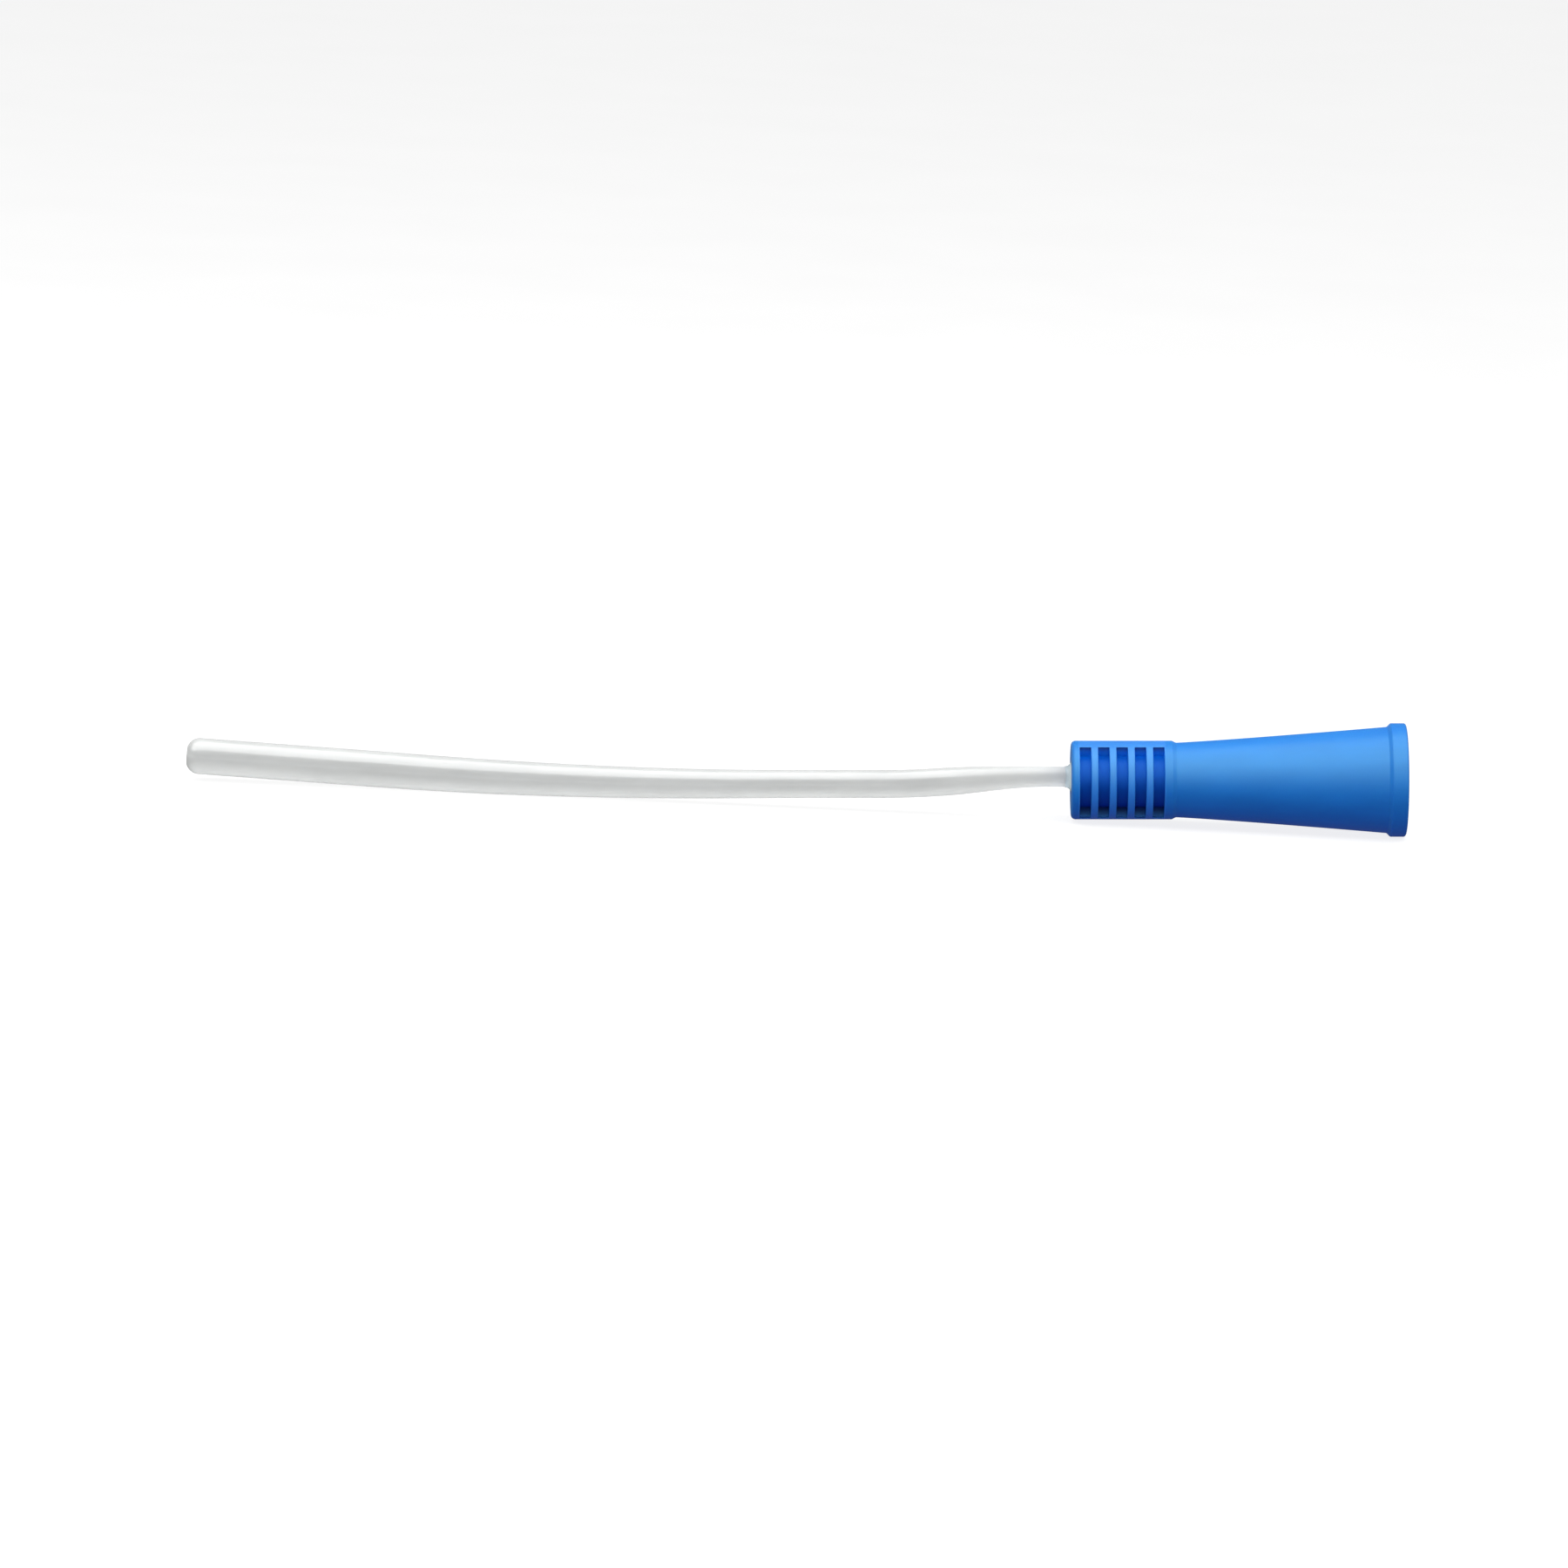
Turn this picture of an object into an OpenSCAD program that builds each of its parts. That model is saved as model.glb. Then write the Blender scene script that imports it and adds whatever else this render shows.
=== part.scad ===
// Saliva ejector tip: a slim, gently bowed suction tube bonded into a soft funnel connector.
// The origin is the centre of the connector's mouth. +X points out of the mouth, along the
// sockets, and the tube runs towards -X. The tube bows in the XZ plane, its tip upwards, and
// carries its wire and relief eyes on the +Y side.

/* [Connector] */
// Length of the connector, from its front face to its mouth
connector_l = 41.2; // [40:0.1:46]
// Outside diameter of the ribbed grip
grip_d = 9.7; // [9.4:0.1:11]
// Length of the ribbed grip
grip_l = 12.4; // [12.2:0.1:14]
// Outside diameter of the waist behind the grip
waist_d = 9.2; // [8.8:0.1:9.3]
// Outside diameter of the funnel where it meets the rim
funnel_d = 13.1; // [12.9:0.1:14]
// Outside diameter of the rim at the mouth
rim_d = 14; // [13.8:0.1:16]
// Length of the rim
rim_l = 1.9; // [1.5:0.1:3]

/* [Sockets] */
// Bore of the wide socket at the mouth
wide_socket_d = 11; // [10:0.1:11.2]
// Length of the wide socket
wide_socket_l = 4; // [3:0.5:5]
// Bore of the narrow socket, at the bottom of the funnel
hose_socket_d = 6.5; // [6:0.1:6.8]
// Length of the narrow socket
hose_socket_l = 8; // [6:0.5:9]
// Depth from the mouth to the bottom of the narrow socket
socket_depth = 27; // [25:0.5:27.5]

/* [Grip pockets] */
// Pockets in a row on each side of the grip
pocket_count = 5; // [3:1:5]
// Width of a pocket
pocket_w = 1.4; // [1:0.1:1.5]
// Distance from one pocket to the next
pocket_pitch = 2.25; // [2.1:0.05:2.25]
// Diameter of the barrel at the bottom of the pockets
barrel_d = 6.8; // [6:0.1:7.6]
// Thickness of the web between the two rows of pockets
web_t = 2; // [2:0.1:3.8]
// Half of the angle that each solid spine takes between the rows
spine_angle = 25; // [20:1:30]

/* [Tube] */
// Length of the whole tip, from the mouth to the end of the tube
overall_l = 150; // [140:1:160]
// Outside diameter of the drawn neck
neck_d = 2.5; // [2.3:0.1:2.8]
// Outside diameter of the tube behind the neck
tube_d = 3.44; // [3.4:0.02:3.8]
// Outside diameter of the tube near its tip
tip_d = 4.45; // [4:0.05:4.6]
// Bore of the neck
neck_bore_d = 1.6; // [1.2:0.1:1.7]
// Thickness of the tube's wall
wall_t = 0.58; // [0.5:0.02:0.65]
// Opening at the end of the tube
mouth_d = 2; // [1.5:0.1:2.4]
// Radius of the rounded end of the tube
nose_r = 1.6; // [1.3:0.1:1.6]
// Diameter of the two relief eyes in the side of the tip
eye_d = 1.1; // [0.8:0.1:1.2]

/* [Bow] */
// Where the bow begins, measured from the mouth
bow_start = 80; // [75:1:90]
// Where the bow ends and the straight tip begins
bow_end = 123; // [115:1:128]
// Radius of the bow
bow_r = 577; // [500:1:700]
// How far the neck stands above the connector's axis
neck_rise = 0.4; // [0:0.05:0.5]
// How far the tube behind the neck lies below the connector's axis
tube_drop = 0.5; // [0:0.05:0.6]

/* [Shaping wire] */
// Diameter of the wire
wire_d = 0.5; // [0.4:0.05:0.5]
// Distance from the middle of the tube to the middle of the wire
wire_offset = 1.2; // [1.15:0.01:1.22]
// Thickness of the wall round the wire, inside the bore
wire_cover = 0.2; // [0.15:0.01:0.25]
// Where the wire begins, measured from the mouth
wire_start = 64; // [62:1:70]
// Where the wire ends, measured from the mouth
wire_end = 141; // [130:1:142]

/* [Hidden] */
$fn = 96;
eps = 0.5;
clearance = 0.02;

// Connector, measured along X from the mouth
grip_r = grip_d / 2;
front_x = -connector_l;
grip_end_x = front_x + grip_l;
grip_round = 0.6;
shoulder_l = 0.5;
flare_power = 1.12;
rim_step_l = 0.45;
rim_round = 0.3;
passage_d = neck_bore_d;
tube_seat_l = 10;
tube_seat_x = front_x + tube_seat_l;

// Tube
tip_x = -overall_l;
nose_x = tip_x + nose_r;
neck_end_x = -44.5;
neck_taper_l = 12.5;
neck_bend_l = 19.5;
swell_start_x = -70;
swell_l = 60;
lip_l = 0.8;
eye_places = [4.2, 6.6];
tube_sides = 28;
wire_sides = 12;
bead_d = 4.1;
bead_l = 0.75;

function ease(t) = let (u = min(1, max(0, t))) u * u * (3 - 2 * u);

// Rise of the bow at a distance u past its start: an arc, then a straight line
function bow(u) =
    let (full = bow_end - bow_start)
    u <= 0 ? 0 : u < full ? u * u / (2 * bow_r) : (full * full / 2 + (u - full) * full) / bow_r;
// Height and heading of the tube's centre line at x
function centre_z(x) =
    neck_rise - (neck_rise + tube_drop) * ease((neck_end_x - x) / neck_bend_l) + bow(-x - bow_start);
function heading(x) = atan2(centre_z(x - 0.1) - centre_z(x + 0.1), -0.2);

// Outside and bore radii of the tube at x
function outer_r(x) =
    neck_d / 2
    + (tube_d - neck_d) / 2 * ease((neck_end_x - x) / neck_taper_l)
    + (tip_d - tube_d) / 2 * ease((swell_start_x - x) / swell_l);
function bore_r(x) =
    let (thin = outer_r(x) - wall_t, share = ease((neck_end_x - x) / neck_taper_l))
    neck_bore_d / 2 * (1 - share) + min(thin, tip_d / 2 - 0.7) * share;

// Bore radius at angle a from the wire's side, with the wall's ridge round the wire
function ridge_r(a) =
    let (r = wire_d / 2 + wire_cover, off = wire_offset * sin(a))
    abs(a) > 60 || abs(off) >= r ? 1000 : wire_offset * cos(a) - sqrt(r * r - off * off);
function has_ridge(x) = x < -wire_start + 1.2 && x > -wire_end - 1.2;

// One ring of a sweep at x. Angle a runs round the tube from the wire's side, +Y.
function turn(a) = a > 180 ? a - 360 : a;
function ring_point(x, r, a, aside) =
    let (h = heading(x))
    [x + r * sin(a) * sin(h), aside + r * cos(a), centre_z(x) - r * sin(a) * cos(h)];
function ring(x, r, sides, ridged = false, aside = 0) = [
    for (k = [0 : sides - 1])
        let (a = turn(360 * k / sides))
        ring_point(x, ridged ? min(r, ridge_r(a)) : r, a, aside)
];
function quads(rows, sides) = [
    for (j = [0 : rows - 2], k = [0 : sides - 1])
        [j * sides + k, j * sides + (k + 1) % sides, (j + 1) * sides + (k + 1) % sides, (j + 1) * sides + k]
];
function flat(lists) = [for (l = lists, p = l) p];

// Places along the tube, close together where it bends or changes size
tube_places = [tube_seat_x, -44, -47, -50, -53, -56, -60, -64, -70, -78, -84, -90, -96, -102, -108, -114,
    -120, -125, -131, -139, -144, nose_x];
bore_places = [tube_seat_x, -44, -47, -50, -53, -57, -62.6, -62.9, -70, -80, -90, -100, -110, -120, -131,
    -142, -142.4, nose_x];

module tube_skin() {
    lip_r = mouth_d / 2;
    start = asin((lip_r - (outer_r(nose_x) - nose_r)) / nose_r);
    outer = [for (x = tube_places) ring(x, outer_r(x), tube_sides)];
    nose = [
        for (a = [75, 60, 45, 30, start])
            ring(nose_x - nose_r * cos(a), outer_r(nose_x) - nose_r + nose_r * sin(a), tube_sides)
    ];
    lip = [ring(nose_x - lip_l, lip_r, tube_sides)];
    bore = [
        for (i = [len(bore_places) - 1 : -1 : 0])
            let (x = bore_places[i])
            ring(x, bore_r(x), tube_sides, has_ridge(x))
    ];
    rows = concat(outer, nose, lip, bore, [outer[0]]);
    count = len(rows) - 1;
    last = (count - 1) * tube_sides;
    closing = [
        for (k = [0 : tube_sides - 1])
            [last + k, last + (k + 1) % tube_sides, (k + 1) % tube_sides, k]
    ];
    points = flat([for (i = [0 : count - 1]) rows[i]]);
    polyhedron(points = points, faces = concat(quads(count, tube_sides), closing));
}

module wire_run(r, first, last) {
    steps = 16;
    rows = [
        for (i = [0 : steps])
            let (x = first + (last - first) * i / steps)
            ring(x, r, wire_sides, aside = wire_offset)
    ];
    end = steps * wire_sides;
    caps = [
        [for (k = [wire_sides - 1 : -1 : 0]) k],
        [for (k = [0 : wire_sides - 1]) end + k]
    ];
    polyhedron(points = flat(rows), faces = concat(quads(steps + 1, wire_sides), caps));
}

module relief_eyes() {
    for (place = eye_places)
        translate([tip_x + place, 0, centre_z(tip_x + place)])
            rotate([-90, 0, 0])
                cylinder(h = tip_d, d = eye_d);
}

module suction_tube() {
    color("gainsboro")
        difference() {
            tube_skin();
            wire_run(wire_d / 2 + clearance, -wire_start + clearance, -wire_end - clearance);
            relief_eyes();
        }
}

module shaping_wire() {
    color("goldenrod") wire_run(wire_d / 2, -wire_start, -wire_end);
}

// Points of an arc about a centre, from one angle to another
function arc(centre, r, from, to, steps = 6) = [
    for (i = [0 : steps])
        let (a = from + (to - from) * i / steps)
        centre + r * [cos(a), sin(a)]
];

module connector_outside() {
    rim_centre_r = rim_d / 2 - rim_round;
    waist_x = grip_end_x + shoulder_l;
    funnel_l = -rim_l - rim_step_l - waist_x;
    flare = [
        for (t = [0 : 1 / 8 : 1])
            [waist_d / 2 + (funnel_d - waist_d) / 2 * pow(t, flare_power), waist_x + funnel_l * t]
    ];
    outline = concat(
        [[0, front_x]],
        arc([grip_r - grip_round, front_x + grip_round], grip_round, -90, 0),
        [[grip_r, grip_end_x]],
        flare,
        arc([rim_centre_r, rim_round - rim_l], rim_round, -60, 0),
        arc([rim_centre_r, -rim_round], rim_round, 0, 90),
        [[0, 0]]
    );
    rotate([0, 90, 0])
        rotate_extrude()
            polygon(outline);
}

module socket_bores() {
    taper_l = socket_depth - hose_socket_l - wide_socket_l;
    rotate([0, -90, 0]) {
        translate([0, 0, -eps]) cylinder(h = wide_socket_l + eps, d = wide_socket_d);
        translate([0, 0, wide_socket_l]) cylinder(h = taper_l, d1 = wide_socket_d, d2 = hose_socket_d);
        translate([0, 0, socket_depth - hose_socket_l]) cylinder(h = hose_socket_l, d = hose_socket_d);
    }
    translate([-socket_depth + eps, 0, neck_rise])
        rotate([0, -90, 0])
            cylinder(h = connector_l - tube_seat_l - socket_depth + 2 * eps, d = passage_d);
    translate([tube_seat_x, 0, neck_rise])
        rotate([0, -90, 0])
            cylinder(h = tube_seat_l + eps, d = neck_d + 2 * clearance);
}

// One row of pockets, cut down to the barrel and the middle web
module pocket_row() {
    half_h = grip_r * cos(spine_angle);
    first_x = front_x + (grip_l - (pocket_count - 1) * pocket_pitch) / 2;
    for (i = [0 : pocket_count - 1])
        translate([first_x + i * pocket_pitch, 0, 0])
            difference() {
                translate([-pocket_w / 2, web_t / 2, -half_h]) cube([pocket_w, grip_r, 2 * half_h]);
                rotate([0, 90, 0]) cylinder(h = 2 * pocket_w, d = barrel_d, center = true);
            }
}

module connector() {
    color("dodgerblue")
        difference() {
            connector_outside();
            socket_bores();
            pocket_row();
            mirror([0, 1, 0]) pocket_row();
        }
}

module bond_bead() {
    inner_r = neck_d / 2 + clearance;
    lip = 0.05;
    hollow = bead_d / 2 - inner_r - lip;
    slope = [
        for (p = arc([0, 0], 1, 270, 180))
            [inner_r + lip + hollow * (1 + p[0]), front_x - bead_l * (1 + p[1])]
    ];
    color("lightcyan")
        translate([0, 0, neck_rise])
            rotate([0, 90, 0])
                rotate_extrude()
                    polygon(concat([[inner_r, front_x - bead_l], [inner_r, front_x]], slope));
}

connector();
suction_tube();
shaping_wire();
bond_bead();
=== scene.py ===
"""Looks of a saliva ejector tip: a milky bowed tube bonded into a blue funnel connector.

The frame's origin is the centre of the connector's mouth. +X points out of the mouth, the tube
runs towards -X with its tip bowed upwards, and its wire and relief eyes are on the +Y side.
Sizes named here are in millimetres, and every mesh is built in metres.
"""

import math

import bmesh
import bpy
from mathutils import Matrix, Vector


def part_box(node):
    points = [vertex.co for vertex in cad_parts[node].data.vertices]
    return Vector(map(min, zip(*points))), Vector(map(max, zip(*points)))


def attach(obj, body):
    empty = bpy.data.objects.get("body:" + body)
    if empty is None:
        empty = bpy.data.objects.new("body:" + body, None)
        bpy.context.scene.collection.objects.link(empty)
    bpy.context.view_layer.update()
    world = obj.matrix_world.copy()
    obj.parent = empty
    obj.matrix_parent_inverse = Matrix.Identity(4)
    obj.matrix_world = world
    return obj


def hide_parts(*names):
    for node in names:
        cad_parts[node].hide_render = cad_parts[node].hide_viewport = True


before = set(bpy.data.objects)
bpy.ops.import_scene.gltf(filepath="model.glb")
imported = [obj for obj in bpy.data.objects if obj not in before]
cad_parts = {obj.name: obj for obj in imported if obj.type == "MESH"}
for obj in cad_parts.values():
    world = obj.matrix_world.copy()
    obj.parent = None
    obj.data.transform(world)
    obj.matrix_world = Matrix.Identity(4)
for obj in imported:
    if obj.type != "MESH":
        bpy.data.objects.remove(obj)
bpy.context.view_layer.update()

MM = 0.001
INSET = 0.002  # how far new surfaces stay inside the CAD surfaces
SHARP_ANGLE = math.radians(50)  # edges that turn more than this aren't shaded smooth


def node_box(node):
    """A CAD node's lowest and highest corners, in millimetres."""
    low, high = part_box(node)
    return low / MM, high / MM


connector_low, connector_high = node_box("connector")
tube_high = node_box("suction_tube")[1]
bead_low, bead_high = node_box("bond_bead")

FRONT_X = connector_low.x
MOUTH_X = connector_high.x
TIP_X = -150.0
SEAT_X = tube_high.x
RIM_R = connector_high.y - INSET


# ---------------------------------------------------------------- shape helpers


def ease(t):
    """A smooth step from 0 to 1."""
    t = min(1.0, max(0.0, t))
    return t * t * (3 - 2 * t)


def blend(a, b, t):
    return a + (b - a) * t


def steps(first, last, count):
    """Evenly spaced values, both ends included."""
    return [first + (last - first) * i / count for i in range(count + 1)]


def rounded(corners, arc_steps):
    """An open outline through corners (x, r, radius), each corner cut to an arc of its radius."""
    points = [Vector(corners[0][:2])]
    for before, corner, after in zip(corners, corners[1:], corners[2:]):
        here = Vector(corner[:2])
        back = (Vector(before[:2]) - here).normalized()
        ahead = (Vector(after[:2]) - here).normalized()
        half = back.angle(ahead) / 2
        reach = corner[2] / math.tan(half)
        if corner[2] == 0:
            points.append(here)
            continue
        centre = here + (back + ahead).normalized() * (corner[2] / math.sin(half))
        start = here + back * reach - centre
        turn = (here + ahead * reach - centre).angle_signed(start)
        for i in range(arc_steps + 1):
            points.append(centre + Matrix.Rotation(turn * i / arc_steps, 2) @ start)
    points.append(Vector(corners[-1][:2]))
    return points


def ring_mesh(name, rows):
    """One closed surface through rings of points in millimetres, the last joined to the first."""
    bm = bmesh.new()
    rings = [[bm.verts.new(Vector(p) * MM) for p in row] for row in rows]
    for lower, upper in zip(rings, rings[1:] + rings[:1]):
        for k in range(len(lower)):
            after = (k + 1) % len(lower)
            bm.faces.new((lower[k], lower[after], upper[after], upper[k]))
    bmesh.ops.remove_doubles(bm, verts=bm.verts, dist=1e-7)
    bmesh.ops.dissolve_degenerate(bm, edges=bm.edges, dist=1e-8)
    bmesh.ops.recalc_face_normals(bm, faces=bm.faces)
    mesh = bpy.data.meshes.new(name)
    bm.to_mesh(mesh)
    bm.free()
    return mesh


def add_piece(name, mesh, material, node):
    """Adds a smooth-shaded piece that rides on the root body and stands for a CAD node."""
    mesh.shade_smooth()
    mesh.set_sharp_from_angle(angle=SHARP_ANGLE)
    mesh.materials.clear()
    mesh.materials.append(material)
    piece = bpy.data.objects.new(name, mesh)
    bpy.context.scene.collection.objects.link(piece)
    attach(piece, "root")
    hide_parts(node)
    return piece


# ---------------------------------------------------------------- connector

GRIP_R = 4.85 - INSET
GRIP_END_X = FRONT_X + 12.4
WAIST_X = GRIP_END_X + 0.5
WAIST_R = 4.6 - INSET
FUNNEL_R = 6.55 - INSET
FLARE_POWER = 1.12
RIM_L = 1.9
RIM_STEP_L = 0.45
WIDE_SOCKET_R = 5.5
WIDE_SOCKET_L = 4.0
HOSE_SOCKET_R = 3.25
HOSE_SOCKET_L = 8.0
SOCKET_DEPTH = 27.0
PASSAGE_R = 0.8
SEAT_R = 1.27
NECK_RISE = 0.4

POCKET_COUNT = 5
POCKET_W = 1.4
POCKET_PITCH = 2.25
BARREL_R = 3.4
WEB_T = 2.0
SPINE_ANGLE = 25.0
RIB_ROUND = 0.16  # rounding of the pockets' outer edges
POCKET_FILLET = 0.1  # rounding at the bottom of the pockets
EDGE_IN, EDGE_UP = 0.09, 0.02  # a pocket's end wall starts this far inside the spine's edge
PARTING_H = 0.03  # height of the moulding line along both spines
PARTING_W = 0.06

GRIP_ROUND = 0.55
GRIP_END_ROUND = 0.2
WAIST_ROUND = 0.5
RIM_ROUND = 0.25
MOUTH_ROUND = 0.3
MOUTH_EDGE_ROUND = 0.1
MOUTH_FACE = 0.3  # the inside's outline starts this far outside the wide socket
SOCKET_ROUND = 0.6
SOCKET_FOOT_ROUND = 0.3
RUN_IN = 0.8  # from the front face to the last ring before the pockets
RUN_OUT = 0.6  # from the first ring after the pockets to the grip's end
FACE_RING_RADII = (2.4, 3.4)  # rings on the front face between the neck and the edge
SOCKET_FLOOR_R = 1.5  # ring on the narrow socket's floor

WALL_STEPS, WEB_STEPS, BARREL_STEPS = 3, 8, 26
SPINE_DEGREES = (-20, -13, -6, -3, -0.7, 0, 0.7, 3, 6, 13, 20)  # from the middle of a spine


def pocket_path():
    """The cross-section of one side's pockets, from spine to spine, as (up, out) points."""
    edge_up = GRIP_R * math.cos(math.radians(SPINE_ANGLE))
    edge_out = GRIP_R * math.sin(math.radians(SPINE_ANGLE))
    web_out = WEB_T / 2
    barrel_start = math.asin(web_out / BARREL_R)
    barrel_up = BARREL_R * math.cos(barrel_start)
    wall = [(edge_up, out) for out in steps(edge_out, web_out, WALL_STEPS)]
    wall[0] = (edge_up + EDGE_UP, edge_out - EDGE_IN)
    web = [(up, web_out) for up in steps(edge_up, barrel_up, WEB_STEPS)]
    angles = steps(barrel_start, math.pi - barrel_start, BARREL_STEPS)
    barrel = [(BARREL_R * math.cos(a), BARREL_R * math.sin(a)) for a in angles]
    half = wall + web[1:] + barrel[1:]
    mirrored = [(-up, out) for up, out in (wall + web[1:])[-2::-1]]
    return half + mirrored


def section_points():
    """Pairs of (outer, pocket) points round the grip. They agree on the spines, top and bottom."""
    path = pocket_path()
    count = len(path)
    pairs = []
    for side in (1, -1):
        for i, (up, out) in enumerate(path):
            a = math.radians(blend(SPINE_ANGLE, 180 - SPINE_ANGLE, i / (count - 1)))
            outer = Vector((math.cos(a), math.sin(a))) * GRIP_R
            pairs.append((side * outer, side * Vector((up, out))))
        for degrees in SPINE_DEGREES:
            a = math.radians(180 + degrees)
            outer = side * Vector((math.cos(a), math.sin(a))) * GRIP_R
            pairs.append((outer, outer))
    return pairs


SECTION = section_points()


def parting_lift(point):
    """Extra radius of the moulding line, which runs along the middle of both spines."""
    across = abs(math.atan2(point.y, abs(point.x))) * point.length
    return PARTING_H * max(0.0, 1 - across / PARTING_W)


def grip_ring(x, depth, rise):
    """A ring of the grip at x, sunk by depth towards the bottom of the pockets, less rise."""
    points = []
    for outer, pocket in SECTION:
        full = (pocket - outer).length
        sunk = min(depth, max(0.0, full - rise))
        place = outer * (1 + parting_lift(outer) / GRIP_R)
        if full > 0:
            place = outer + (pocket - outer) * (sunk / full)
        points.append((x, place.y, place.x))
    return points


def round_ring(x, r, centre_z=0.0, parting=False):
    """A round ring at x with the same number of points as a grip ring."""
    points = []
    for outer, _ in SECTION:
        lift = parting_lift(outer) if parting else 0.0
        place = outer.normalized() * (r + lift)
        points.append((x, place.y, place.x + centre_z))
    return points


def pocket_rows(start_x):
    """The rings of one pocket: over the rib's rounded edge, down the wall, along the floor and back."""
    deep = GRIP_R
    angles = [math.radians(a) for a in (0, 22.5, 45, 67.5, 90)]
    rim = [(RIB_ROUND * (math.sin(a) - 1), RIB_ROUND * (1 - math.cos(a)), 0) for a in angles]
    foot = [(POCKET_FILLET * (1 - math.cos(a)), deep, POCKET_FILLET * (1 - math.sin(a))) for a in angles]
    near = rim + foot
    far = [(POCKET_W - dx, depth, rise) for dx, depth, rise in near[::-1]]
    return [grip_ring(start_x + dx, depth, rise) for dx, depth, rise in near + far]


def flare_corners(end_x, count=24):
    """The funnel's outline between waist and rim: a cone that opens a little faster towards the rim."""
    corners = []
    for t in steps(0, 1, count)[1:-1]:
        corners.append((blend(WAIST_X, end_x, t), blend(WAIST_R, FUNNEL_R, t**FLARE_POWER), 0))
    return corners


def split_long(outline, longest=2.0):
    """Adds points along an outline's long straight runs."""
    points = [outline[0]]
    for here, after in zip(outline, outline[1:]):
        count = max(1, math.ceil((after - here).length / longest))
        points += [here.lerp(after, i / count) for i in range(1, count + 1)]
    return points


def connector_rows():
    """Rings over the whole moulding: outside from front to mouth, then back through the sockets."""
    front_x = FRONT_X + INSET
    end_x = MOUTH_X - INSET
    funnel_end = -RIM_L - RIM_STEP_L
    front = rounded(
        [(front_x, SEAT_R, 0), (front_x, GRIP_R, GRIP_ROUND), (FRONT_X + RUN_IN, GRIP_R, 0)],
        6,
    )
    outside = rounded(
        [
            (GRIP_END_X - RUN_OUT, GRIP_R, 0),
            (GRIP_END_X, GRIP_R, GRIP_END_ROUND),
            (WAIST_X, WAIST_R, WAIST_ROUND),
            *flare_corners(funnel_end),
            (funnel_end, FUNNEL_R, RIM_ROUND),
            (-RIM_L, RIM_R, RIM_ROUND),
            (end_x, RIM_R, MOUTH_ROUND),
            (end_x, WIDE_SOCKET_R, 0),
        ],
        5,
    )
    inside = rounded(
        [
            (end_x, WIDE_SOCKET_R + MOUTH_FACE, 0),
            (end_x, WIDE_SOCKET_R, MOUTH_EDGE_ROUND),
            (-WIDE_SOCKET_L, WIDE_SOCKET_R, SOCKET_ROUND),
            (HOSE_SOCKET_L - SOCKET_DEPTH, HOSE_SOCKET_R, SOCKET_ROUND),
            (-SOCKET_DEPTH, HOSE_SOCKET_R, SOCKET_FOOT_ROUND),
            (-SOCKET_DEPTH, SOCKET_FLOOR_R, 0),
        ],
        5,
    )
    rows = [round_ring(front_x, SEAT_R, NECK_RISE)]
    rows += [round_ring(front_x, r) for r in FACE_RING_RADII]
    rows += [round_ring(place.x, place.y) for place in front[1:]]
    first_x = FRONT_X + (GRIP_END_X - FRONT_X - (POCKET_COUNT - 1) * POCKET_PITCH) / 2
    for i in range(POCKET_COUNT):
        rows += pocket_rows(first_x + i * POCKET_PITCH - POCKET_W / 2)
    rows += [round_ring(place.x, place.y, parting=place.x < funnel_end) for place in outside[:-1]]
    rows += [round_ring(place.x, place.y) for place in split_long(inside)]
    rows.append(round_ring(-SOCKET_DEPTH, PASSAGE_R, NECK_RISE))
    rows.append(round_ring(SEAT_X, PASSAGE_R, NECK_RISE))
    rows.append(round_ring(SEAT_X, SEAT_R, NECK_RISE))
    return rows


# ---------------------------------------------------------------- suction tube

NOSE_R = 1.6
MOUTH_R = 1.0
LIP_L = 0.8
LIP_EDGE = 0.12  # how far outside the mouth the nose's arc ends
LIP_RINGS = ((0.02, 0.05), (0.1, 0.0))  # the edge's rounding, as (way in, extra radius)
LIP_SLOPE_L = 0.3  # the step from the mouth to the wider bore
NECK_R = 1.25
TUBE_R = 1.72
TIP_R = 2.225
NECK_BORE_R = 0.8
WALL_T = 0.58
TIP_WALL_T = 0.7
NECK_END_X = -44.5
NECK_TAPER_L = 12.5
NECK_BEND_L = 19.5
SWELL_START_X = -70.0
SWELL_L = 60.0
TUBE_DROP = 0.5
BOW_START = 80.0
BOW_END = 123.0
BOW_R = 577.0
EYE_PLACES = (4.2, 6.6)
EYE_R = 0.55
EYE_FLARE, EYE_TAPER = 1.15, 0.95  # the drill's wide outer and narrow inner ends, times EYE_R
TUBE_SIDES = 72
MID_X = -62.0  # where the rings' spacing changes

WIRE_R = 0.25
WIRE_OFFSET = 1.2
WIRE_COVER = 0.2
WIRE_START_X = -64.0
WIRE_END_X = -141.0
RIDGE_REACH = 1.2  # how far the thickened wall runs past both ends of the wire
RIDGE_LOW_X = WIRE_END_X - RIDGE_REACH
RIDGE_HIGH_X = WIRE_START_X + RIDGE_REACH


def bow(u):
    """Rise of the bow at a distance u past its start: an arc, then a straight line."""
    full = BOW_END - BOW_START
    if u <= 0:
        return 0.0
    if u < full:
        return u * u / (2 * BOW_R)
    return (full * full / 2 + (u - full) * full) / BOW_R


def centre_z(x):
    """Height of the tube's centre line at x."""
    drop = (NECK_RISE + TUBE_DROP) * ease((NECK_END_X - x) / NECK_BEND_L)
    return NECK_RISE - drop + bow(-x - BOW_START)


def heading(x):
    """Direction of the centre line at x, towards the tip."""
    return math.atan2(centre_z(x - 0.1) - centre_z(x + 0.1), -0.2)


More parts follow.
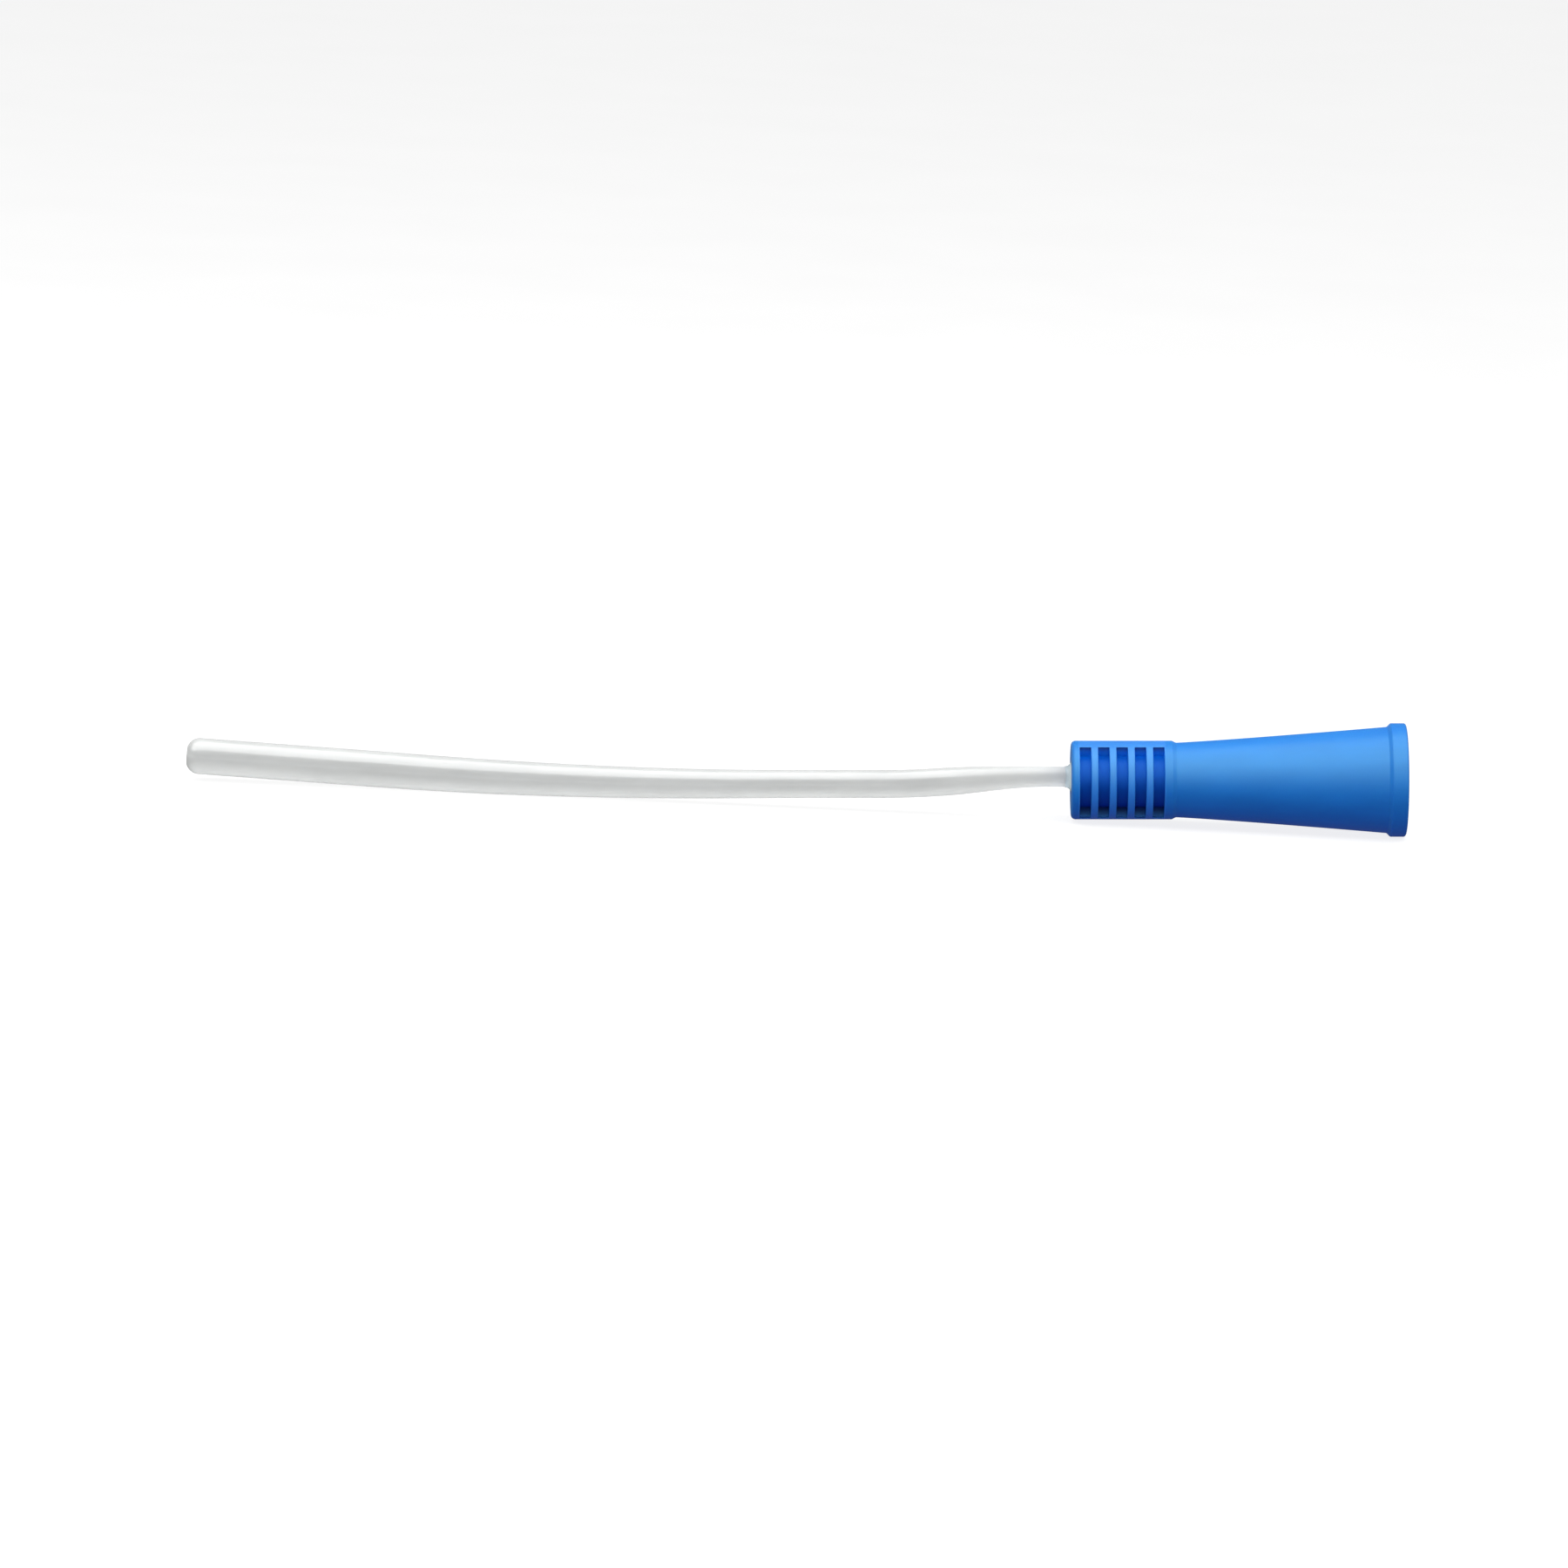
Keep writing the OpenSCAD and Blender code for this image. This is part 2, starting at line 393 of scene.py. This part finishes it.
def outer_r(x):
    """Outside radius of the tube: a drawn neck, an even run and a slow swell to the tip."""
    neck = (TUBE_R - NECK_R) * ease((NECK_END_X - x) / NECK_TAPER_L)
    swell = (TIP_R - TUBE_R) * ease((SWELL_START_X - x) / SWELL_L)
    return NECK_R + neck + swell - INSET


def bore_r(x):
    share = ease((NECK_END_X - x) / NECK_TAPER_L)
    open_r = min(outer_r(x) - WALL_T, TIP_R - TIP_WALL_T)
    return blend(NECK_BORE_R, open_r, share)


def ridge_r(a, x):
    """Bore radius at angle a from the wire's side, where the wall thickens round the wire."""
    cover_r = WIRE_R + WIRE_COVER
    off = WIRE_OFFSET * math.sin(a)
    beside_wire = RIDGE_LOW_X < x < RIDGE_HIGH_X
    if not beside_wire or math.cos(a) <= 0 or abs(off) >= cover_r:
        return math.inf
    return WIRE_OFFSET * math.cos(a) - math.sqrt(cover_r * cover_r - off * off)


def tube_ring(x, r, ridged=False):
    """A ring square to the centre line at x. The angle runs round the tube from the wire's side, +Y."""
    along = heading(x)
    points = []
    for k in range(TUBE_SIDES):
        a = 2 * math.pi * k / TUBE_SIDES
        reach = min(r, ridge_r(a, x)) if ridged else r
        side = reach * math.sin(a)
        here_x = x + side * math.sin(along)
        points.append((here_x, reach * math.cos(a), centre_z(x) - side * math.cos(along)))
    return points


def tube_rows():
    """Rings over the outside from the seat to the nose, round the lip and back along the bore."""
    nose_x = TIP_X + NOSE_R
    round_r = outer_r(nose_x) - NOSE_R
    lip_angle = math.asin((MOUTH_R + LIP_EDGE - round_r) / NOSE_R)
    rows = [tube_ring(x, outer_r(x)) for x in steps(SEAT_X, MID_X, 30)]
    rows += [tube_ring(x, outer_r(x)) for x in steps(MID_X, nose_x, 72)[1:]]
    for a in steps(math.pi / 2, lip_angle, 12)[1:]:
        rows.append(tube_ring(nose_x - NOSE_R * math.cos(a), round_r + NOSE_R * math.sin(a)))
    lip_x = nose_x - NOSE_R * math.cos(lip_angle)
    rows += [tube_ring(lip_x + way_in, MOUTH_R + extra) for way_in, extra in LIP_RINGS]
    rows.append(tube_ring(nose_x - LIP_L, MOUTH_R))
    rows.append(tube_ring(nose_x - LIP_L + LIP_SLOPE_L, blend(MOUTH_R, bore_r(nose_x), 0.6)))
    # Rings crowd where the wall round the wire starts and ends
    bore = steps(nose_x, RIDGE_LOW_X - 0.2, 6)
    bore += [RIDGE_LOW_X, RIDGE_LOW_X + 0.01]
    bore += steps(RIDGE_LOW_X + 0.7, RIDGE_HIGH_X - 0.1, 60)
    bore.append(RIDGE_HIGH_X + 0.01)
    bore += steps(RIDGE_HIGH_X + 0.3, SEAT_X, 24)
    rows += [tube_ring(x, bore_r(x), ridged=True) for x in bore]
    return rows


def cut_eyes(mesh):
    """Drills the relief eyes into the wire's side of the tip."""
    tube = bpy.data.objects.new("tube_blank", mesh)
    bpy.context.scene.collection.objects.link(tube)
    drills = []
    for place in EYE_PLACES:
        x = TIP_X + place
        bm = bmesh.new()
        centre = Vector((x, TIP_R, centre_z(x))) * MM
        bmesh.ops.create_cone(
            bm,
            cap_ends=True,
            segments=32,
            radius1=EYE_R * EYE_FLARE * MM,
            radius2=EYE_R * EYE_TAPER * MM,
            depth=2 * TIP_R * MM,
            matrix=Matrix.Translation(centre) @ Matrix.Rotation(math.radians(90), 4, "X"),
        )
        drill_mesh = bpy.data.meshes.new("drill")
        bm.to_mesh(drill_mesh)
        bm.free()
        drill = bpy.data.objects.new("drill", drill_mesh)
        bpy.context.scene.collection.objects.link(drill)
        cut = tube.modifiers.new("eye", "BOOLEAN")
        cut.operation = "DIFFERENCE"
        cut.solver = "EXACT"
        cut.object = drill
        drills.append(drill)
    graph = bpy.context.evaluated_depsgraph_get()
    cut_mesh = bpy.data.meshes.new_from_object(tube.evaluated_get(graph), depsgraph=graph)
    for scrap in drills + [tube]:
        bpy.data.objects.remove(scrap)
    cut_mesh.name = "milky_tube"
    return cut_mesh


# ---------------------------------------------------------------- bond bead

BEAD_SIDES = 72
BEAD_R = NECK_R + 0.02  # inside radius, just clear of the neck
BEAD_EDGE = 0.04  # thickness of the fillet's thin edge
BEAD_SPARE = 0.01  # what the fillet leaves of the CAD bead's width and length


def bead_ring(x_at, radius_at):
    """A ring round the neck, from functions that give its x and its radius at an angle."""
    points = []
    for k in range(BEAD_SIDES):
        a = 2 * math.pi * k / BEAD_SIDES
        r = radius_at(a)
        points.append((x_at(a), r * math.sin(a), NECK_RISE + r * math.cos(a)))
    return points


def bead_rows():
    """A fillet of adhesive in the corner between neck and connector, a little uneven all round."""
    width = bead_high.z - NECK_RISE - BEAD_R - BEAD_EDGE - BEAD_SPARE
    length = bead_high.x - bead_low.x

    def uneven(a):
        return 0.93 + 0.05 * math.sin(2 * a + 1) + 0.02 * math.sin(5 * a)

    def slope_ring(slope):
        out = width * (1 - math.sin(slope))
        along = (length - BEAD_SPARE) * (1 - math.cos(slope))
        return bead_ring(
            lambda a: bead_high.x - INSET - along * uneven(a),
            lambda a: BEAD_R + BEAD_EDGE + out * uneven(a),
        )

    rows = [slope_ring(slope) for slope in steps(0, math.pi / 2, 10)]
    for back in (length * 0.8, 0.003):
        rows.append(bead_ring(lambda a: bead_high.x - back, lambda a: BEAD_R))
    return rows


# ---------------------------------------------------------------- materials


def fill_ramp(node, stops):
    """Gives a colour ramp node its (position, colour) stops."""
    elements = node.color_ramp.elements
    for position, colour in stops[1:-1]:
        elements.new(position).color = (*colour, 1)
    for element, (position, colour) in zip((elements[0], elements[-1]), (stops[0], stops[-1])):
        element.position = position
        element.color = (*colour, 1)


class Nodes:
    """Short names for building a material's node tree."""

    def __init__(self, name):
        self.material = bpy.data.materials.new(name)
        self.material.use_nodes = True
        self.tree = self.material.node_tree
        self.shader = self.tree.nodes["Principled BSDF"]
        self.place = self.add("ShaderNodeTexCoord").outputs["Object"]

    def add(self, kind, **values):
        node = self.tree.nodes.new(kind)
        for key, value in values.items():
            setattr(node, key, value)
        return node

    def link(self, source, target):
        self.tree.links.new(source, target)

    def set(self, **values):
        """Sets the shader's own sockets, such as Roughness=0.3 or Coat_Weight=1."""
        for key, value in values.items():
            self.shader.inputs[key.replace("_", " ")].default_value = value

    def stretched(self, scale):
        """Object coordinates multiplied by scale, so that a pattern runs along one axis."""
        mapping = self.add("ShaderNodeMapping")
        mapping.inputs["Scale"].default_value = scale
        self.link(self.place, mapping.inputs["Vector"])
        return mapping.outputs["Vector"]

    def noise(self, scale, detail=3.0, roughness=0.5, vector=None):
        texture = self.add("ShaderNodeTexNoise")
        texture.inputs["Scale"].default_value = scale
        texture.inputs["Detail"].default_value = detail
        texture.inputs["Roughness"].default_value = roughness
        self.link(vector or self.place, texture.inputs["Vector"])
        return texture.outputs["Fac"]

    def spread(self, source, low, high, from_low=0.3, from_high=0.7):
        """Maps a value to a range and holds it at both ends. Noise mostly lies from 0.3 to 0.7."""
        ranged = self.add("ShaderNodeMapRange")
        self.link(source, ranged.inputs["Value"])
        ranged.inputs["From Min"].default_value = from_low
        ranged.inputs["From Max"].default_value = from_high
        ranged.inputs["To Min"].default_value = low
        ranged.inputs["To Max"].default_value = high
        return ranged.outputs["Result"]

    def ramp(self, source, *stops):
        """A colour ramp through (position, colour) stops."""
        ramp = self.add("ShaderNodeValToRGB")
        fill_ramp(ramp, stops)
        self.link(source, ramp.inputs["Fac"])
        return ramp.outputs["Color"]

    def bump(self, source, distance, under=None):
        bump = self.add("ShaderNodeBump")
        bump.inputs["Distance"].default_value = distance
        self.link(source, bump.inputs["Height"])
        if under is not None:
            self.link(under, bump.inputs["Normal"])
        return bump.outputs["Normal"]

    def along(self, axis):
        """Distance along the object's own X, Y or Z axis."""
        split = self.add("ShaderNodeSeparateXYZ")
        self.link(self.place, split.inputs["Vector"])
        return split.outputs[axis]

    def math(self, operation, *values):
        """A math node on links or plain numbers."""
        node = self.add("ShaderNodeMath", operation=operation)
        for value, socket in zip(values, node.inputs):
            if isinstance(value, (int, float)):
                socket.default_value = value
            else:
                self.link(value, socket)
        return node.outputs["Value"]

    def mix(self, share, first, second):
        """Blends two colours: all first at a share of 0, all second at 1."""
        node = self.add("ShaderNodeMixRGB")
        self.link(share, node.inputs["Fac"])
        self.link(first, node.inputs["Color1"])
        self.link(second, node.inputs["Color2"])
        return node.outputs["Color"]

    def feed(self, socket, source):
        self.link(source, self.shader.inputs[socket])


def grip_masks(m):
    """Two masks over the grip's ribbed stretch: the ribs' outer faces, where light is painted, and the
    pockets' floors, where shade is painted.
    """
    out = m.add("ShaderNodeVectorMath", operation="LENGTH")
    m.link(m.stretched((0, 1, 1)), out.inputs[0])
    full_depth, first_depth = 1.3, 0.35
    deepest, highest = (GRIP_R - full_depth) * MM, (GRIP_R - first_depth) * MM
    sunk = m.spread(out.outputs["Value"], 1, 0, deepest, highest)
    middle_x = (FRONT_X + GRIP_END_X) / 2
    along = m.math("ABSOLUTE", m.math("SUBTRACT", m.along("X"), middle_x * MM))
    reach = (POCKET_COUNT - 1) * POCKET_PITCH / 2 + POCKET_W / 2
    ribbed = m.spread(along, 1, 0, (reach + 0.1) * MM, (reach + 0.2) * MM)
    pockets = m.math("MULTIPLY", sunk, ribbed)
    return m.math("SUBTRACT", ribbed, pockets), pockets


def blue_pvc():
    """Satin soft PVC: flow marks, a fine skin, ribs painted paler as painted light, and duller pockets
    with painted shade, dark below and lighter at the top.
    """
    m = Nodes("blue_pvc")
    flow = m.noise(260, 4, 0.6, m.stretched((0.35, 1, 1)))
    rib, pocket = grip_masks(m)
    skin_colour = m.ramp(flow, (0.3, (0.002, 0.138, 0.50)), (0.7, (0.003, 0.160, 0.56)))
    # Painted shade: the pockets' floors darken towards the bottom by height, with a painted lighter band
    # at the top.
    height = m.spread(m.along("Z"), 0, 1, -GRIP_R * MM, GRIP_R * MM)
    painted_shade_height = m.math("ADD", height, m.spread(flow, -0.02, 0.02))
    painted_pocket_light_and_shade = m.ramp(
        painted_shade_height,
        (0.12, (0.001, 0.010, 0.14)),
        (0.20, (0.001, 0.056, 0.34)),
        (0.42, (0.001, 0.066, 0.37)),
        (0.62, (0.002, 0.102, 0.52)),
        (0.80, (0.002, 0.106, 0.54)),
        (0.87, (0.001, 0.230, 0.96)),
    )
    # Painted light: the thin ribs are painted paler than the skin.
    painted_rib_light = m.ramp(flow, (0.3, (0.016, 0.162, 0.56)), (0.7, (0.019, 0.184, 0.62)))
    outside_colour = m.mix(rib, skin_colour, painted_rib_light)
    m.feed("Base Color", m.mix(pocket, outside_colour, painted_pocket_light_and_shade))
    skin = m.noise(5200, 2, 0.6)
    m.feed("Roughness", m.spread(skin, 0.42, 0.52))
    m.feed("Specular IOR Level", m.spread(pocket, 0.75, 0.15, 0, 1))
    waves = m.bump(m.noise(320, 1, 0.4), 0.00003)
    m.feed("Normal", m.bump(skin, 0.000006, under=waves))
    m.set(IOR=1.5, Specular_Tint=(0.6, 1.0, 0.35, 1.0))
    m.set(Subsurface_Weight=0.15, Subsurface_Scale=0.001, Subsurface_Radius=(0.1, 0.3, 1.0))
    return m.material


def milky_pvc():
    """Translucent PVC, cloudy inside, with fine die lines and a gloss that the drawn neck lacks."""
    m = Nodes("milky_pvc")
    cloud = m.noise(420, 3, 0.55, m.stretched((0.3, 1, 1)))
    m.feed("Base Color", m.ramp(cloud, (0.3, (0.59, 0.603, 0.598)), (0.7, (0.645, 0.658, 0.652))))
    lines = m.noise(3000, 2, 0.5, m.stretched((0.012, 1, 1)))
    neck = m.spread(m.along("X"), 0, 1, (NECK_END_X - NECK_TAPER_L) * MM, NECK_END_X * MM)
    m.feed("Coat Weight", m.spread(neck, 1, 0, 0, 1))
    m.feed("Coat Roughness", m.spread(lines, 0.12, 0.19))
    m.feed("Roughness", m.spread(lines, 0.54, 0.62))
    m.feed("Specular IOR Level", m.spread(neck, 0.1, 0.8, 0, 1))
    waves = m.bump(m.noise(90, 1, 0.4), 0.00001)
    surface = m.bump(lines, 0.000004, under=waves)
    m.feed("Normal", surface)
    m.feed("Coat Normal", surface)
    m.set(IOR=1.53, Coat_IOR=1.81)
    m.set(Subsurface_Weight=0.5, Subsurface_Scale=0.0018, Subsurface_Radius=(1.0, 0.95, 0.9))
    return m.material


def clear_adhesive():
    """Cured clear adhesive with a faint, even blue tint."""
    m = Nodes("clear_adhesive")
    cloud = m.noise(1500, 2)
    m.feed("Base Color", m.ramp(cloud, (0.3, (0.76, 0.88, 0.93)), (0.7, (0.84, 0.93, 0.96))))
    m.feed("Roughness", m.spread(cloud, 0.06, 0.14))
    m.feed("Normal", m.bump(m.noise(900, 1), 0.00003))
    m.set(IOR=1.5, Transmission_Weight=0.45)
    return m.material


def plated_wire():
    """Drawn steel wire with brass plating: long fine scratches and slightly dull patches."""
    m = Nodes("plated_wire")
    dull = m.noise(900, 3)
    m.feed("Base Color", m.ramp(dull, (0.3, (0.55, 0.40, 0.17)), (0.7, (0.72, 0.56, 0.27))))
    scratches = m.noise(9000, 2, 0.5, m.stretched((0.01, 1, 1)))
    m.feed("Roughness", m.spread(scratches, 0.22, 0.4))
    m.feed("Normal", m.bump(scratches, 0.000003))
    m.set(Metallic=1.0)
    return m.material


# ---------------------------------------------------------------- stage, light and camera

VIEW_WIDTH = 0.193
VIEW_ELEVATION = math.radians(10)
LENS = 200
SENSOR = 36
VIEW_CENTRE = Vector((-0.0765, 0, -0.0005))
OBJECT_MIDDLE = Vector((-0.075, 0, 0))
FLOOR_HALF = 6.0


def rest_slope():
    """Slope of the floor on which the part lies: it touches the rim and the bow's underside."""
    rim_low = connector_low.z
    places = steps(-BOW_START, TIP_X + NOSE_R, 140)
    return min((centre_z(x) - outer_r(x) - rim_low) / -x for x in places)


def make_floor():
    """A pale, partly self-lit sheet under the rim and the bow. It neither lights nor shades them."""
    bm = bmesh.new()
    bmesh.ops.create_grid(bm, x_segments=8, y_segments=8, size=FLOOR_HALF)
    turn = Matrix.Rotation(math.atan(rest_slope()), 4, "Y")
    place = Matrix.Translation((0, 0, connector_low.z * MM)) @ turn
    bmesh.ops.transform(bm, matrix=place, verts=bm.verts)
    mesh = bpy.data.meshes.new("floor")
    bm.to_mesh(mesh)
    bm.free()
    floor = bpy.data.objects.new("floor", mesh)
    floor.visible_diffuse = False
    floor.visible_glossy = False
    floor.visible_shadow = False
    bpy.context.scene.collection.objects.link(floor)
    m = Nodes("pale_floor")
    m.feed("Base Color", m.ramp(m.noise(30, 2), (0.3, (0.21, 0.21, 0.21)), (0.7, (0.23, 0.23, 0.23))))
    m.set(Roughness=0.9, Specular_IOR_Level=0.0)
    m.set(Emission_Color=(1, 1, 1, 1), Emission_Strength=0.83)
    mesh.materials.append(m.material)


def add_softbox(name, centre, size, power, colour=(1, 1, 1), reaches=None, glossy=True):
    """A rectangular softbox that faces the middle of the object. It may reach only some pieces."""
    lamp = bpy.data.lights.new(name, "AREA")
    lamp.shape = "RECTANGLE"
    lamp.size, lamp.size_y = size
    lamp.energy = power
    lamp.color = colour
    holder = bpy.data.objects.new(name, lamp)
    holder.location = centre
    aim = OBJECT_MIDDLE - Vector(centre)
    holder.rotation_euler = aim.to_track_quat("-Z", "Y").to_euler()
    holder.visible_glossy = glossy
    bpy.context.scene.collection.objects.link(holder)
    if reaches:
        lit = bpy.data.collections.new(name + "_reaches")
        for piece in reaches:
            lit.objects.link(piece)
        holder.light_linking.receiver_collection = lit


def make_world():
    """White round the horizon, softer overhead and dim below."""
    world = bpy.data.worlds.new("studio")
    world.use_nodes = True
    tree = world.node_tree
    direction = tree.nodes.new("ShaderNodeTexCoord").outputs["Generated"]
    split = tree.nodes.new("ShaderNodeSeparateXYZ")
    tree.links.new(direction, split.inputs["Vector"])
    height = tree.nodes.new("ShaderNodeMapRange")
    height.inputs["From Min"].default_value = -1
    tree.links.new(split.outputs["Z"], height.inputs["Value"])
    ramp = tree.nodes.new("ShaderNodeValToRGB")
    tones = ((0.44, 0.14), (0.48, 0.9), (0.53, 0.9), (0.58, 0.26))
    fill_ramp(ramp, [(position, (tone, tone, tone)) for position, tone in tones])
    tree.links.new(height.outputs["Result"], ramp.inputs["Fac"])
    background = tree.nodes["Background"]
    tree.links.new(ramp.outputs["Color"], background.inputs["Color"])
    background.inputs["Strength"].default_value = 1.0
    bpy.context.scene.world = world


def make_light(blue, milky):
    """Soft light from above and in front. The glows stand for light that passes through a wall."""
    add_softbox("overhead", (-0.075, -0.075, 0.5), (1.6, 0.65), 7.8)
    add_softbox("front_fill", (-0.05, -0.42, 0.3), (0.9, 0.4), 1.9, reaches=blue)
    low = (-0.1, -0.17, -0.47)
    add_softbox("milky_glow", low, (0.6, 0.4), 3.8, reaches=milky, glossy=False)
    add_softbox("blue_glow", low, (0.6, 0.4), 0.8, (0.04, 0.12, 1.0), reaches=blue, glossy=False)
    make_world()
    bpy.context.scene.view_settings.view_transform = "Standard"


def make_camera():
    """Looks along +Y with a long lens, from a little above."""
    data = bpy.data.cameras.new("camera")
    data.lens = LENS
    data.sensor_width = SENSOR
    data.clip_start = 0.01
    camera = bpy.data.objects.new("camera", data)
    away = Vector((0, -math.cos(VIEW_ELEVATION), math.sin(VIEW_ELEVATION)))
    camera.location = VIEW_CENTRE + away * VIEW_WIDTH * LENS / SENSOR
    camera.rotation_euler = (-away).to_track_quat("-Z", "Y").to_euler()
    bpy.context.scene.collection.objects.link(camera)
    bpy.context.scene.camera = camera


make_camera()
make_floor()

connector_mesh = ring_mesh("blue_connector", connector_rows())
connector = add_piece("blue_connector", connector_mesh, blue_pvc(), "connector")
tube_mesh = cut_eyes(ring_mesh("milky_tube", tube_rows()))
tube = add_piece("milky_tube", tube_mesh, milky_pvc(), "suction_tube")
bead_mesh = ring_mesh("adhesive_fillet", bead_rows())
bead = add_piece("adhesive_fillet", bead_mesh, clear_adhesive(), "bond_bead")
make_light(blue=[connector], milky=[tube, bead])

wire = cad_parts["shaping_wire"]
wire.data.materials.clear()
wire.data.materials.append(plated_wire())
